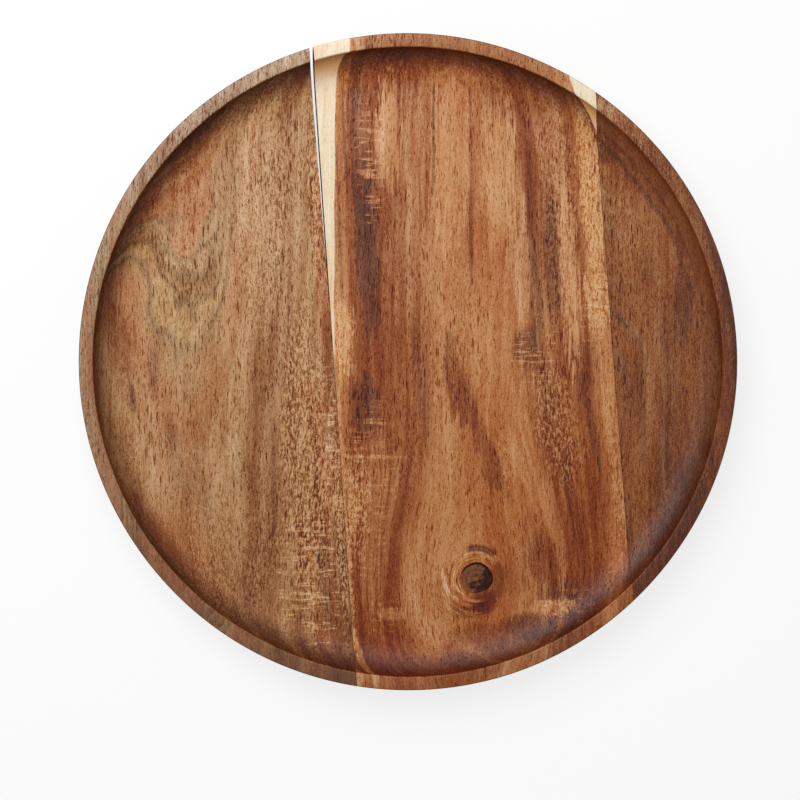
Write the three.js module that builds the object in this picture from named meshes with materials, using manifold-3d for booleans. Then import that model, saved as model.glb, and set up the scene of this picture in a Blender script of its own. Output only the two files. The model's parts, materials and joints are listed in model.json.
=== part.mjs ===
// A round dished plate of hardwood, turned from a panel of three boards glued edge to edge.
// Millimetres, +Z up. The origin is the centre of the flat base, and the grain runs along Y.
// The boards lie side by side across X. The left seam has come open at its +Y end:
// there the glue film has stayed on the centre board, and the left board stands away from it.
import * as THREE from "three";
import { mergeVertices } from "three/addons/utils/BufferGeometryUtils.js";
import Module from "manifold-3d";

const wasm = await Module();
wasm.setup();

// The plate's section
const DIAMETER = 300; // outside of the rim
const FLOOR_THICKNESS = 9; // base to dish floor
const DISH_DEPTH = 10; // dish floor to rim top
const RIM_WIDTH = 6.5; // from the outside to the dish wall
const RIM_EDGE_ROUND = 0.8; // on both edges of the rim's flat top
const COVE_WIDTH = 18; // from the dish wall in to the level floor
const COVE_HEIGHT = 9; // from the level floor up to the upright wall
const SIDE_ROUND = 14.2; // between the outside and the base

// The two glued seams, each placed where it crosses the X axis at the height of the dish floor
const LEFT_SEAM_X = -34.1;
const LEFT_SEAM_LEAN = 3.9; // degrees off the grain
const LEFT_SEAM_BEVEL = 4.2; // degrees out of square through the thickness
const RIGHT_SEAM_X = 94.8;
const RIGHT_SEAM_LEAN = 4.3; // degrees off the grain
const GLUE_THICKNESS = 0.2;
const FIT_GAP = 0.1; // clear space between two pieces that lie against each other

// The open end of the left seam
const CRACK_LENGTH = 124; // in from the rim
const CRACK_WIDTH = 1.7; // at the rim

// The dead knot in the centre board, a branch stub with a ring of bark
const KNOT_X = 31.2;
const KNOT_FROM_RIM = 50; // along Y, from the rim's -Y end to the knot's middle
const KNOT_DIAMETER = 13.4; // at the dish floor
const KNOT_TAPER = 9; // degrees, narrowing towards the base
const BARK_THICKEST = 1;
const BARK_THINNEST = 0.35;
const BARK_SIDE = 50; // degrees from +X to where the bark is thickest

// Fineness of the round faces
const TURNS = 144;
const SIDE_ROUND_STEPS = 9;
const COVE_STEPS = 10;
const EDGE_STEPS = 3;
const KNOT_SIDES = 36;

const radius = DIAMETER / 2;
const height = FLOOR_THICKNESS + DISH_DEPTH;
const cutMargin = DIAMETER; // how far a cutting solid runs past the plate
const boardOffset = GLUE_THICKNESS / 2 + FIT_GAP; // from a seam's middle to a board's edge
const knotY = KNOT_FROM_RIM - radius;

// Solids and meshes

function solidOf(geometry) {
  geometry.deleteAttribute("normal");
  geometry.deleteAttribute("uv");
  const merged = mergeVertices(geometry);
  return new wasm.Manifold(
    new wasm.Mesh({
      numProp: 3,
      vertProperties: merged.attributes.position.array,
      triVerts: new Uint32Array(merged.index.array),
    }),
  );
}

function meshOf(name, solid, material) {
  const { vertProperties, triVerts } = solid.getMesh();
  const geometry = new THREE.BufferGeometry();
  geometry.setAttribute("position", new THREE.BufferAttribute(vertProperties, 3));
  geometry.setIndex(new THREE.BufferAttribute(triVerts, 1));
  geometry.computeVertexNormals();
  const mesh = new THREE.Mesh(geometry, material);
  mesh.name = name;
  return mesh;
}

// The turned plate

// Points along an arc of an ellipse, or of a circle where only one half-axis is given.
function arcPoints(x, y, fromDegrees, toDegrees, steps, halfWidth, halfHeight = halfWidth) {
  const from = THREE.MathUtils.degToRad(fromDegrees);
  const to = THREE.MathUtils.degToRad(toDegrees);
  return new THREE.EllipseCurve(x, y, halfWidth, halfHeight, from, to, to < from).getPoints(steps);
}

// Half the section, from the middle of the base round to the middle of the dish floor.
function plateProfile() {
  const edge = Math.min(RIM_EDGE_ROUND, RIM_WIDTH / 2, DISH_DEPTH / 2);
  const side = Math.min(SIDE_ROUND, height - edge);
  const dishRadius = radius - RIM_WIDTH;
  const coveWidth = Math.min(COVE_WIDTH, dishRadius / 2);
  const coveHeight = Math.min(COVE_HEIGHT, DISH_DEPTH - edge);
  const coveTop = FLOOR_THICKNESS + coveHeight;
  return [
    new THREE.Vector2(0, 0),
    ...arcPoints(radius - side, side, -90, 0, SIDE_ROUND_STEPS, side),
    ...arcPoints(radius - edge, height - edge, 0, 90, EDGE_STEPS, edge),
    ...arcPoints(dishRadius + edge, height - edge, 90, 180, EDGE_STEPS, edge),
    ...arcPoints(dishRadius - coveWidth, coveTop, 0, -90, COVE_STEPS, coveWidth, coveHeight),
    new THREE.Vector2(0, FLOOR_THICKNESS),
  ];
}

function turnedPlate() {
  return solidOf(new THREE.LatheGeometry(plateProfile(), TURNS).rotateX(Math.PI / 2));
}

// Seams

function makeSeam(x, leanDegrees, bevelDegrees = 0) {
  const lean = THREE.MathUtils.degToRad(leanDegrees);
  const along = new THREE.Vector2(-Math.sin(lean), Math.cos(lean));
  const across = new THREE.Vector2(along.y, -along.x);
  const start = new THREE.Vector2(x, 0);
  const startAlong = start.dot(along);
  const rimEnd = Math.sqrt(radius ** 2 - start.dot(across) ** 2) - startAlong;
  const slant = Math.tan(THREE.MathUtils.degToRad(bevelDegrees));
  const point = (s, offset) => start.clone().addScaledVector(along, s).addScaledVector(across, offset);
  return { point, rimEnd, slant };
}

// An upright solid on a plan outline, slanted through the thickness as the seam's edge is.
function prism(seam, outline) {
  const depth = height + 2 * cutMargin;
  const geometry = new THREE.ExtrudeGeometry(new THREE.Shape(outline), { depth, bevelEnabled: false });
  const slanted = new THREE.Matrix4().makeShear(0, 0, 0, 0, seam.slant, 0);
  geometry.translate(0, 0, -cutMargin - FLOOR_THICKNESS);
  geometry.applyMatrix4(slanted);
  geometry.translate(0, 0, FLOOR_THICKNESS);
  return solidOf(geometry);
}

// Everything between two lines that run along a seam, offset from its middle.
function strip(seam, fromOffset, toOffset) {
  return prism(seam, [
    seam.point(-cutMargin, fromOffset),
    seam.point(-cutMargin, toOffset),
    seam.point(cutMargin, toOffset),
    seam.point(cutMargin, fromOffset),
  ]);
}

// The left board's side of its seam, with the edge turned away from the seam past the crack's tip.
function leftOfCrack(seam) {
  const tip = seam.rimEnd - CRACK_LENGTH;
  const opening = (CRACK_WIDTH * (cutMargin - tip)) / CRACK_LENGTH;
  return prism(seam, [
    seam.point(-cutMargin, -cutMargin),
    seam.point(-cutMargin, -boardOffset),
    seam.point(tip, -boardOffset),
    seam.point(cutMargin, -boardOffset - opening),
    seam.point(cutMargin, -cutMargin),
  ]);
}

// The knot's cones

// A cone along the knot that runs from clear below the base up to the rim's height.
function knotCone(radiusAtFloor, x = KNOT_X, y = knotY) {
  const slope = Math.tan(THREE.MathUtils.degToRad(KNOT_TAPER));
  const below = 2 * FLOOR_THICKNESS;
  const topRadius = radiusAtFloor + DISH_DEPTH * slope;
  const bottomRadius = Math.max(radiusAtFloor - below * slope, FIT_GAP);
  const tall = DISH_DEPTH + below;
  const geometry = new THREE.CylinderGeometry(topRadius, bottomRadius, tall, KNOT_SIDES);
  geometry.rotateX(Math.PI / 2);
  geometry.translate(x, y, height - tall / 2);
  return solidOf(geometry);
}

// The bark's outside: a cone set off to one side, so that the ring is thicker there.
function barkCone(clearance) {
  const side = THREE.MathUtils.degToRad(BARK_SIDE);
  const shift = (BARK_THICKEST - BARK_THINNEST) / 2;
  const mean = (BARK_THICKEST + BARK_THINNEST) / 2;
  const x = KNOT_X + shift * Math.cos(side);
  const y = knotY + shift * Math.sin(side);
  return knotCone(KNOT_DIAMETER / 2 + FIT_GAP + mean + clearance, x, y);
}

// Materials

function wood(color, roughness = 0.5) {
  return new THREE.MeshStandardMaterial({ color, roughness, metalness: 0 });
}

const leftWood = wood(0xa5764f);
const centreWood = wood(0xa26640);
const rightWood = wood(0x835134);
const knotWood = wood(0x4f3325, 0.6);
const bark = wood(0x1f1611, 0.9);
const glue = wood(0x3a2a1e, 0.4);

// The assembly

const plate = turnedPlate();
const leftSeam = makeSeam(LEFT_SEAM_X, LEFT_SEAM_LEAN, LEFT_SEAM_BEVEL);
const rightSeam = makeSeam(RIGHT_SEAM_X, RIGHT_SEAM_LEAN);
const centrePanel = plate
  .subtract(strip(leftSeam, -cutMargin, boardOffset))
  .subtract(strip(rightSeam, -boardOffset, cutMargin));

const boards = new THREE.Group();
boards.add(
  meshOf("left_board", plate.intersect(leftOfCrack(leftSeam)), leftWood),
  meshOf("centre_board", centrePanel.subtract(barkCone(FIT_GAP)), centreWood),
  meshOf("right_board", plate.intersect(strip(rightSeam, boardOffset, cutMargin)), rightWood),
);

const glueLines = new THREE.Group();
const halfGlue = GLUE_THICKNESS / 2;
glueLines.add(
  meshOf("left_glue_line", plate.intersect(strip(leftSeam, -halfGlue, halfGlue)), glue),
  meshOf("right_glue_line", plate.intersect(strip(rightSeam, -halfGlue, halfGlue)), glue),
);

const deadKnot = new THREE.Group();
const knotSeat = knotCone(KNOT_DIAMETER / 2 + FIT_GAP);
deadKnot.add(
  meshOf("knot", plate.intersect(knotCone(KNOT_DIAMETER / 2)), knotWood),
  meshOf("knot_bark", plate.intersect(barkCone(0).subtract(knotSeat)), bark),
);

const woodenPlate = new THREE.Group();
woodenPlate.add(boards, glueLines, deadKnot);
export default woodenPlate;
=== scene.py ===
import json
import math
from typing import NamedTuple

import bmesh
import bpy
from mathutils import Matrix, Vector


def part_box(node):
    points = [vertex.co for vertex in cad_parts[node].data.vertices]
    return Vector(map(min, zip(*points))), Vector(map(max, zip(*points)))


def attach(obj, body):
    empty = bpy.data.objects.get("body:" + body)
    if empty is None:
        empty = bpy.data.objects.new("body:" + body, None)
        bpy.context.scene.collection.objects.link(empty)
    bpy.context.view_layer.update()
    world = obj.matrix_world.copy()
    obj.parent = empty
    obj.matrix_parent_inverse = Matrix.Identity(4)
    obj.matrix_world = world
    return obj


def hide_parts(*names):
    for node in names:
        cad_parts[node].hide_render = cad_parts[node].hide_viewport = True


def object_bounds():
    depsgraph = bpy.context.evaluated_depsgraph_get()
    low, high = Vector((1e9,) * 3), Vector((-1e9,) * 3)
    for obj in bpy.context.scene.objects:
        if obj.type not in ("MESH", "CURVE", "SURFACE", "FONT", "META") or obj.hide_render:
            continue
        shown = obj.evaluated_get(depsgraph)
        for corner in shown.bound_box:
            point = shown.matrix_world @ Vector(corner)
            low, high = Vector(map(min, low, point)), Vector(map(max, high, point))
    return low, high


bl_info = {
    "name": "Edge-Glued Wooden Plate",
    "version": (1, 0, 0),
    "blender": (4, 5, 0),
    "location": "View3D > Sidebar > Plate",
    "description": "Models and finishes a turned hardwood plate made of three glued boards",
    "category": "Add Mesh",
}

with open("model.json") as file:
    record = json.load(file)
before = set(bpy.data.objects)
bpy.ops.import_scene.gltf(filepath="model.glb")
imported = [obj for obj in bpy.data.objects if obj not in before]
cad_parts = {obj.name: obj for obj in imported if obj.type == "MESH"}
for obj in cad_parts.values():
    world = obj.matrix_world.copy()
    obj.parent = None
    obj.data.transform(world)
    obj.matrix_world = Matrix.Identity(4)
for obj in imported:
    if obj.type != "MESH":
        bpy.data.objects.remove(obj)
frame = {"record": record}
CAD_LOW, CAD_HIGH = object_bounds()
MM = 0.001
MOUNTS = {mount["name"]: mount for mount in frame["record"]["mounts"]}
DISH_FLOOR = MOUNTS["dish_floor"]["pos_m"][2]
KNOT_LOW, KNOT_HIGH = (Vector(corner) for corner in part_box("knot"))
KNOT_MIDDLE = (KNOT_LOW + KNOT_HIGH) / 2

# Places in millimetres, the unit of the materials
OUTSIDE = CAD_HIGH.x / MM
RIM_TOP = CAD_HIGH.z / MM
FLOOR_TOP = DISH_FLOOR / MM
KNOT_X = KNOT_MIDDLE.x / MM
KNOT_Y = KNOT_MIDDLE.y / MM
MARGIN_STRETCH = (OUTSIDE - 30.0, OUTSIDE - 17.0)  # radii from the level floor into the cove
COVE_STRETCH = (OUTSIDE - 17.5, OUTSIDE - 7.5)  # radii over the cove's steeper part
RIM_STRETCH = (RIM_TOP - 0.8, RIM_TOP - 0.1)  # heights over the rim's rounded edges

# Fineness of the shapes
SIDE_STEPS = 16
EDGE_STEPS = 5
COVE_STEPS = 20
MERGE_DISTANCE = 1e-7
SHARP_ANGLE = math.radians(32)  # edges sharper than this stay crisp


def srgb(red, green, blue):
    """A colour as it is read off a screen, 0 to 255, as linear light with full alpha."""
    linear = []
    for level in (red, green, blue):
        share = level / 255
        linear.append(share / 12.92 if share <= 0.04045 else ((share + 0.055) / 1.055) ** 2.4)
    return (*linear, 1.0)


# Properties


def length_property(label, description, metres):
    """A size in metres."""
    return bpy.props.FloatProperty(
        name=label, description=description, default=metres, unit="LENGTH", precision=5
    )


def angle_property(label, description, degrees):
    """An angle, stored in radians."""
    return bpy.props.FloatProperty(
        name=label, description=description, default=math.radians(degrees), unit="ROTATION"
    )


def colour_property(label, description, screen_colour):
    """A finish colour, given as it is read off a screen."""
    return bpy.props.FloatVectorProperty(
        name=label,
        description=description,
        default=srgb(*screen_colour),
        size=4,
        subtype="COLOR",
        min=0,
        max=1,
    )


class PlateShape(bpy.types.PropertyGroup):
    """The turned section, the two seams and the crack."""

    radius: length_property("Radius", "Outside of the rim", CAD_HIGH.x)
    height: length_property("Height", "Base to rim top", CAD_HIGH.z)
    floor: length_property("Floor", "Base to dish floor", DISH_FLOOR)
    rim_width: length_property("Rim Width", "From the outside to the dish wall", 6.5 * MM)
    edge_round: length_property("Edge Round", "On both edges of the rim's top", 0.8 * MM)
    cove_width: length_property("Cove Width", "From the dish wall in to the level floor", 18 * MM)
    cove_height: length_property("Cove Height", "From the level floor up to the upright wall", 9 * MM)
    side_round: length_property("Side Round", "Between the outside and the base", 14.2 * MM)
    wobble: length_property("Wobble", "How far the hand-turned rim leaves a true circle", 0.35 * MM)
    turns: bpy.props.IntProperty(name="Turns", description="Steps round the plate", default=360, min=24)
    left_seam_x: length_property("Left Seam", "Where it crosses the X axis", -34.1 * MM)
    left_seam_lean: angle_property("Left Seam Lean", "Off the grain", 3.9)
    left_seam_bevel: angle_property("Left Seam Bevel", "Out of square through the thickness", 4.2)
    right_seam_x: length_property("Right Seam", "Where it crosses the X axis", 94.8 * MM)
    right_seam_lean: angle_property("Right Seam Lean", "Off the grain", 4.3)
    glue: length_property("Glue", "Thickness of a glue film", 0.2 * MM)
    crack_length: length_property("Crack Length", "In from the rim", 124 * MM)
    crack_width: length_property("Crack Width", "At the rim", 1.7 * MM)


class KnotShape(bpy.types.PropertyGroup):
    """The dead knot and its ring of bark."""

    radius: length_property("Radius", "At the dish floor", (KNOT_HIGH.x - KNOT_LOW.x) / 2)
    taper: angle_property("Taper", "Narrowing towards the base", 9)
    bark_thick: length_property("Thick Bark", "Where the bark is thickest", 1.0 * MM)
    bark_thin: length_property("Thin Bark", "Where the bark is thinnest", 0.35 * MM)
    bark_side: angle_property("Bark Side", "From +X to the thickest bark", 50)
    bark_sunk: length_property("Bark Sunk", "How far the bark lies below the floor", 0.25 * MM)
    fit_gap: length_property("Fit Gap", "Between the knot, its bark and the board", 0.05 * MM)
    sides: bpy.props.IntProperty(name="Sides", description="Steps round the knot", default=72, min=12)


class WoodColours(bpy.types.PropertyGroup):
    """The finish colours of the boards, the knot and the glue."""

    left_golden: colour_property("Left Golden", "The left board's paler growth", (177, 132, 88))
    left_pale: colour_property("Left Pale", "The palest arch in the left board", (187, 147, 101))
    left_brown: colour_property("Left Brown", "The left board's darker growth", (146, 92, 54))
    left_orange: colour_property("Left Orange", "Inside the left board's arches", (178, 122, 80))
    left_warm: colour_property("Left Warm", "The left board along its seam", (172, 110, 66))
    left_umber: colour_property("Left Umber", "Lines in the left board", (146, 108, 70))
    centre_pale: colour_property("Centre Pale", "The palest heartwood streaks", (206, 155, 110))
    centre_golden: colour_property("Centre Golden", "Near the middle of the centre board", (190, 129, 81))
    centre_orange: colour_property("Centre Orange", "The centre board's main tone", (157, 91, 47))
    heart_dark: colour_property("Dark Heart", "Purple brown heart streaks", (102, 60, 44))
    heart_red: colour_property("Red Heart", "Reddish streaks", (130, 64, 28))
    tan: colour_property("Tan", "Between heartwood and sapwood", (216, 166, 114))
    sapwood: colour_property("Sapwood", "Pale outer wood", (234, 213, 180))
    right_brown: colour_property("Right Brown", "The right board's main tone", (142, 84, 44))
    right_dark: colour_property("Right Dark", "The right board's darker growth", (110, 60, 32))
    right_pale: colour_property("Right Pale", "The right board's paler growth", (162, 104, 60))
    knot_brown: colour_property("Knot Brown", "Dead branch wood", (118, 73, 52))
    knot_black: colour_property("Knot Black", "Checks in the knot", (38, 21, 14))
    knot_orange: colour_property("Knot Orange", "Resin round the knot and in its heart", (184, 106, 42))
    bark: colour_property("Bark", "The ring of bark", (20, 13, 11))
    # Painted shade, partly: the glue's dark colour also stands for the shade along the crack's wall.
    glue: colour_property("Glue", "Dried glue films", (58, 42, 30))
    # Painted shade: the outside colour darkens the plate's sides, which face away from the light above.
    outside: colour_property("Outside", "Heartwood darkened by oil on the outside", (74, 53, 43))
    # Painted shade: the cove colour darkens the dish's cove, where its wall stands in shade.
    cove: colour_property("Cove", "Oil gathered in the dish's cove", (40, 22, 12))
    honey: colour_property("Honey", "Sapwood darkened by oil in the cove", (222, 158, 92))
    rim_wear_and_light: colour_property("Worn", "Heartwood gone grey along the rim", (108, 88, 76))


class StudioStage(bpy.types.PropertyGroup):
    """The floor, the light and the camera above the plate."""

    floor_width: length_property("Floor Width", "Side of the floor", 6.0)
    floor_gap: length_property("Floor Gap", "Between the floor and the plate's base", 0.1 * MM)
    floor_colour: colour_property("Floor Colour", "Pale floor", (253, 253, 253))
    floor_glow: bpy.props.FloatProperty(
        name="Floor Glow", description="Share of plain white in the floor as it is seen", default=0.8
    )
    camera_height: length_property("Camera Height", "From the rim up to the camera", 1.0)
    picture_width: length_property("Picture Width", "Width of the picture at the rim", 364.5 * MM)
    shift_x: bpy.props.FloatProperty(name="Shift X", description="Frame offset, in widths", default=-0.0099)
    shift_y: bpy.props.FloatProperty(name="Shift Y", description="Frame offset, in widths", default=-0.048)
    key_watts: bpy.props.FloatProperty(
        name="Key", description="Power of the key light", default=9.5, unit="POWER"
    )
    key_direction: bpy.props.FloatVectorProperty(
        name="Key Direction", description="From the plate's middle to the light", default=(-0.38, 0.62, 1.04)
    )
    key_width: length_property("Key Width", "Side of the key light", 0.8)
    key_distance: length_property("Key Distance", "From the plate's middle", 1.0)
    sky_level: bpy.props.FloatProperty(
        name="Sky", description="Strength of the light from all round", default=0.25
    )


# Fields: numbers and colours that vary through a material


class Field:
    """One output of a material's node, with arithmetic on it."""

    def __init__(self, socket):
        self.socket = socket

    def __add__(self, other):
        return calculate("ADD", self, other)

    def __sub__(self, other):
        return calculate("SUBTRACT", self, other)

    def __rsub__(self, other):
        return calculate("SUBTRACT", other, self)

    def __mul__(self, other):
        return calculate("MULTIPLY", self, other)

    def __truediv__(self, other):
        return calculate("DIVIDE", self, other)


def feed(socket, value):
    """Links a field to a socket, or sets a plain value on it."""
    if isinstance(value, Field):
        socket.node.id_data.links.new(value.socket, socket)
    else:
        socket.default_value = value


def new_node(kind, values, **settings):
    """A node in the tree of the first field among values, with its settings."""
    tree = next(value.socket.node.id_data for value in values if isinstance(value, Field))
    node = tree.nodes.new(kind)
    for name, value in settings.items():
        setattr(node, name, value)
    return node


def calculate(operation, *values):
    """A math node on fields and plain numbers."""
    node = new_node("ShaderNodeMath", values, operation=operation)
    for socket, value in zip(node.inputs, values):
        feed(socket, value)
    return Field(node.outputs[0])


def larger(first, second):
    """The larger of two fields or numbers."""
    return calculate("MAXIMUM", first, second)


def smooth(value, low, high):
    """0 at low and 1 at high, with soft ends; low may be the larger of the two."""
    node = new_node("ShaderNodeMapRange", (value,), interpolation_type="SMOOTHSTEP")
    for name, given in (("Value", value), ("From Min", low), ("From Max", high)):
        feed(node.inputs[name], given)
    return Field(node.outputs["Result"])


def near(value, middle, reach):
    """1 where value is at middle, and 0 from reach away."""
    return smooth(calculate("ABSOLUTE", value - middle), reach, 0.0)


def parts(vector):
    """The three parts of a vector field."""
    node = new_node("ShaderNodeSeparateXYZ", (vector,))
    feed(node.inputs[0], vector)
    return tuple(Field(output) for output in node.outputs)


def vector_of(x, y, z):
    """A vector field of three parts."""
    node = new_node("ShaderNodeCombineXYZ", (x, y, z))
    for socket, value in zip(node.inputs, (x, y, z)):
        feed(socket, value)
    return Field(node.outputs[0])


def drawn_out(place, size, seed):
    """The place measured in cells of a size in millimetres, set off by a seed."""
    node = new_node("ShaderNodeMapping", (place,))
    feed(node.inputs["Vector"], place)
    node.inputs["Location"].default_value = (seed, 1.7 * seed, -2.3 * seed)
    node.inputs["Scale"].default_value = tuple(1 / side for side in size)
    return Field(node.outputs[0])


def noise_node(place, size, seed, detail, roughness):
    """A noise node with cells of a size in millimetres."""
    node = new_node("ShaderNodeTexNoise", (place,))
    feed(node.inputs["Vector"], drawn_out(place, size, seed))
    node.inputs["Scale"].default_value = 1.0
    node.inputs["Detail"].default_value = detail
    node.inputs["Roughness"].default_value = roughness
    return node


def noise(place, size, seed, detail=2.0, roughness=0.5):
    """Smooth noise about 0, mostly within half a unit, with cells of a size in millimetres."""
    return Field(noise_node(place, size, seed, detail, roughness).outputs[0]) - 0.5


def noise_shift(place, size, seed, reach):
    """The place moved across the grain by noise, by about reach millimetres at most."""
    node = noise_node(place, size, seed, 2.0, 0.5)
    across, _, through = parts(Field(node.outputs[1]))
    x, y, z = parts(place)
    return vector_of(x + (across - 0.5) * (2 * reach), y, z + (through - 0.5) * (2 * reach))


def cells(place, size, seed):
    """Distance to the nearest of a scatter of points, one to each cell."""
    node = new_node("ShaderNodeTexVoronoi", (place,))
    feed(node.inputs["Vector"], drawn_out(place, size, seed))
    node.inputs["Scale"].default_value = 1.0
    return Field(node.outputs["Distance"])


def tint(factor, under, over):
    """One colour laid over another."""
    node = new_node("ShaderNodeMix", (factor, under, over), data_type="RGBA")
    feed(node.inputs[0], factor)
    feed(node.inputs[6], under)
    feed(node.inputs[7], over)
    return Field(node.outputs[2])


def steep(colour, density):
    """A colour that goes darker and deeper where its density is above 1."""
    node = new_node("ShaderNodeGamma", (colour, density))
    feed(node.inputs["Color"], colour)
    feed(node.inputs["Gamma"], density)
    return Field(node.outputs[0])


def ramp(value, low, high, stops):
    """A colour that changes with a value, through stops given as value and colour."""
    node = new_node("ShaderNodeValToRGB", (value,))
    feed(node.inputs[0], (value - low) / (high - low))
    elements = node.color_ramp.elements
    while len(elements) < len(stops):
        elements.new(0.5)
    for element, (at, colour) in zip(elements, stops):
        element.position = (at - low) / (high - low)
        element.color = colour
    return Field(node.outputs[0])


# Wood


class Streak(NamedTuple):
    """A mark that lies along the grain, in millimetres; slope is its lean in X for each Y."""

    x: float
    y: float
    half_width: float
    half_length: float
    slope: float
    strength: float


def streak_mask(x, y, streak, fray):
    """1 along the middle of a streak, fading at its frayed sides and ends."""
    along = (y - streak.y) / streak.half_length
    across = (x - streak.x - (y - streak.y) * streak.slope) / streak.half_width
    inside = 1.0 - along * along - across * across
    return smooth(inside + fray, 0.0, 0.8) * streak.strength


def gathered(x, y, streaks, fray):
    """The strongest of several streaks at each place."""
    total = streak_mask(x, y, streaks[0], fray)
    for streak in streaks[1:]:
        total = larger(total, streak_mask(x, y, streak, fray))
    return total


def new_material(name):
    """A material with an output, and the place in its piece in millimetres."""
    material = bpy.data.materials.new(name)
    material.use_nodes = True
    nodes = material.node_tree.nodes
    nodes.clear()
    nodes.new("ShaderNodeOutputMaterial")
    coordinates = nodes.new("ShaderNodeTexCoord")
    scale = nodes.new("ShaderNodeVectorMath")
    scale.operation = "SCALE"
    scale.inputs["Scale"].default_value = 1 / MM
    material.node_tree.links.new(coordinates.outputs["Object"], scale.inputs[0])
    return material, Field(scale.outputs[0])


def finish_surface(material, colour, roughness, height, specular=0.19, relief=0.25 * MM):
    """Joins a colour, a roughness and a relief to the material's surface."""
    tree = material.node_tree
    surface = tree.nodes.new("ShaderNodeBsdfPrincipled")
    surface.inputs["Specular IOR Level"].default_value = specular
    feed(surface.inputs["Base Color"], colour)
    feed(surface.inputs["Roughness"], roughness)
    bump = tree.nodes.new("ShaderNodeBump")
    bump.inputs["Strength"].default_value = 0.5
    bump.inputs["Distance"].default_value = relief
    feed(bump.inputs["Height"], height)
    tree.links.new(bump.outputs[0], surface.inputs["Normal"])
    tree.links.new(surface.outputs[0], tree.nodes["Material Output"].inputs["Surface"])


def ring_distance(place, pith_x, pith_z, rise):
    """Distance from the tree's pith, whose line runs along Y and rises with it."""
    x, y, z = parts(place)
    across = x - pith_x
    through = z - pith_z - y * rise
    return calculate("SQRT", across * across + through * through)


def ring_on_floor(place, ring, pith_x, floor_depth):
    """The X at which the growth ring through a place meets the dish floor."""
    x, _, _ = parts(place)
    reach = calculate("SQRT", larger(ring * ring - floor_depth**2, 0.0))
    return calculate("SIGN", x - pith_x) * reach + pith_x


def growth_lines(ring, y, size, seed):
    """Bands that follow the growth rings and change slowly along the grain."""
    return noise(vector_of(ring, y * 0.01, 0.0), (size, 1.0, 1.0), seed, detail=3.0)


class Turning(NamedTuple):
    """Which part of the turned form a place is on, each from 0 to 1."""

    margin: Field
    cove: Field
    side: Field
    rim: Field
    ends: Field


def turning(material, place):
    """Finds the floor's margin, the cove, the outside, the rim's top and the end grain."""
    geometry = material.node_tree.nodes.new("ShaderNodeNewGeometry")
    across, along, up = parts(Field(geometry.outputs["Normal"]))
    x, y, z = parts(place)
    radius = calculate("SQRT", x * x + y * y)
    outward = (x * across + y * along) / radius
    rim_high = smooth(z, *RIM_STRETCH)
    in_dish = smooth(up - outward * 3.0, 0.0, 0.5) * (1.0 - rim_high)
    margin = smooth(radius, *MARGIN_STRETCH) * in_dish
    cove = smooth(radius, *COVE_STRETCH) * in_dish
    side = smooth(outward, 0.45, 0.9)
    rim = rim_high * smooth(up, 0.5, 0.9)
    ends = smooth(calculate("ABSOLUTE", along), 0.25, 0.9)
    return Turning(margin, cove, side, rim, ends)


class ToneAndShade(NamedTuple):
    """How much deeper each part of a turned board is coloured than its dish floor: painted shade in the cove
    and on the outside, darker towards the cove over the margin, and the rim's own tone.
    """

    margin: float
    cove: float
    side: float
    rim: float
    greyed: float  # share of grey on the rim's top


class Figure(NamedTuple):
    """What sets one board's wood apart from another's."""

    colour: Field
    oil_and_shade: tuple | Field  # colour laid over the cove: painted shade, with honey where there is sapwood
    outside: tuple | Field  # colour laid over the outside: painted shade, with honey where there is sapwood
    density: Field  # depth of the colour, about 1
    plenty: Field  # size of the pores, about 0
    crackle: Field | float  # share of pale speckles
    heartwood: Field | float  # 1 in heartwood and 0 in sapwood
    rim_wear_and_light: Field  # how much paler the rim's top is: partly its own tone, partly painted light, paler towards the key light at the top and left


def pore_mask(place, plenty):
    """Open pores: dark dashes along the grain, larger where plenty is above 0."""
    crooked = noise_shift(place, (1.2, 2.5, 1.2), 6.3, 0.35)
    short = cells(crooked, (0.75, 4.2, 0.75), 3.1)
    long = cells(crooked, (1.4, 12.0, 1.4), 8.4)
    short_mask = smooth(short / (plenty * 0.4 + 0.29), 1.0, 0.5)
    long_mask = smooth(long / (plenty * 0.4 + 0.24), 1.0, 0.5)
    return larger(short_mask * 0.8, long_mask)


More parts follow.
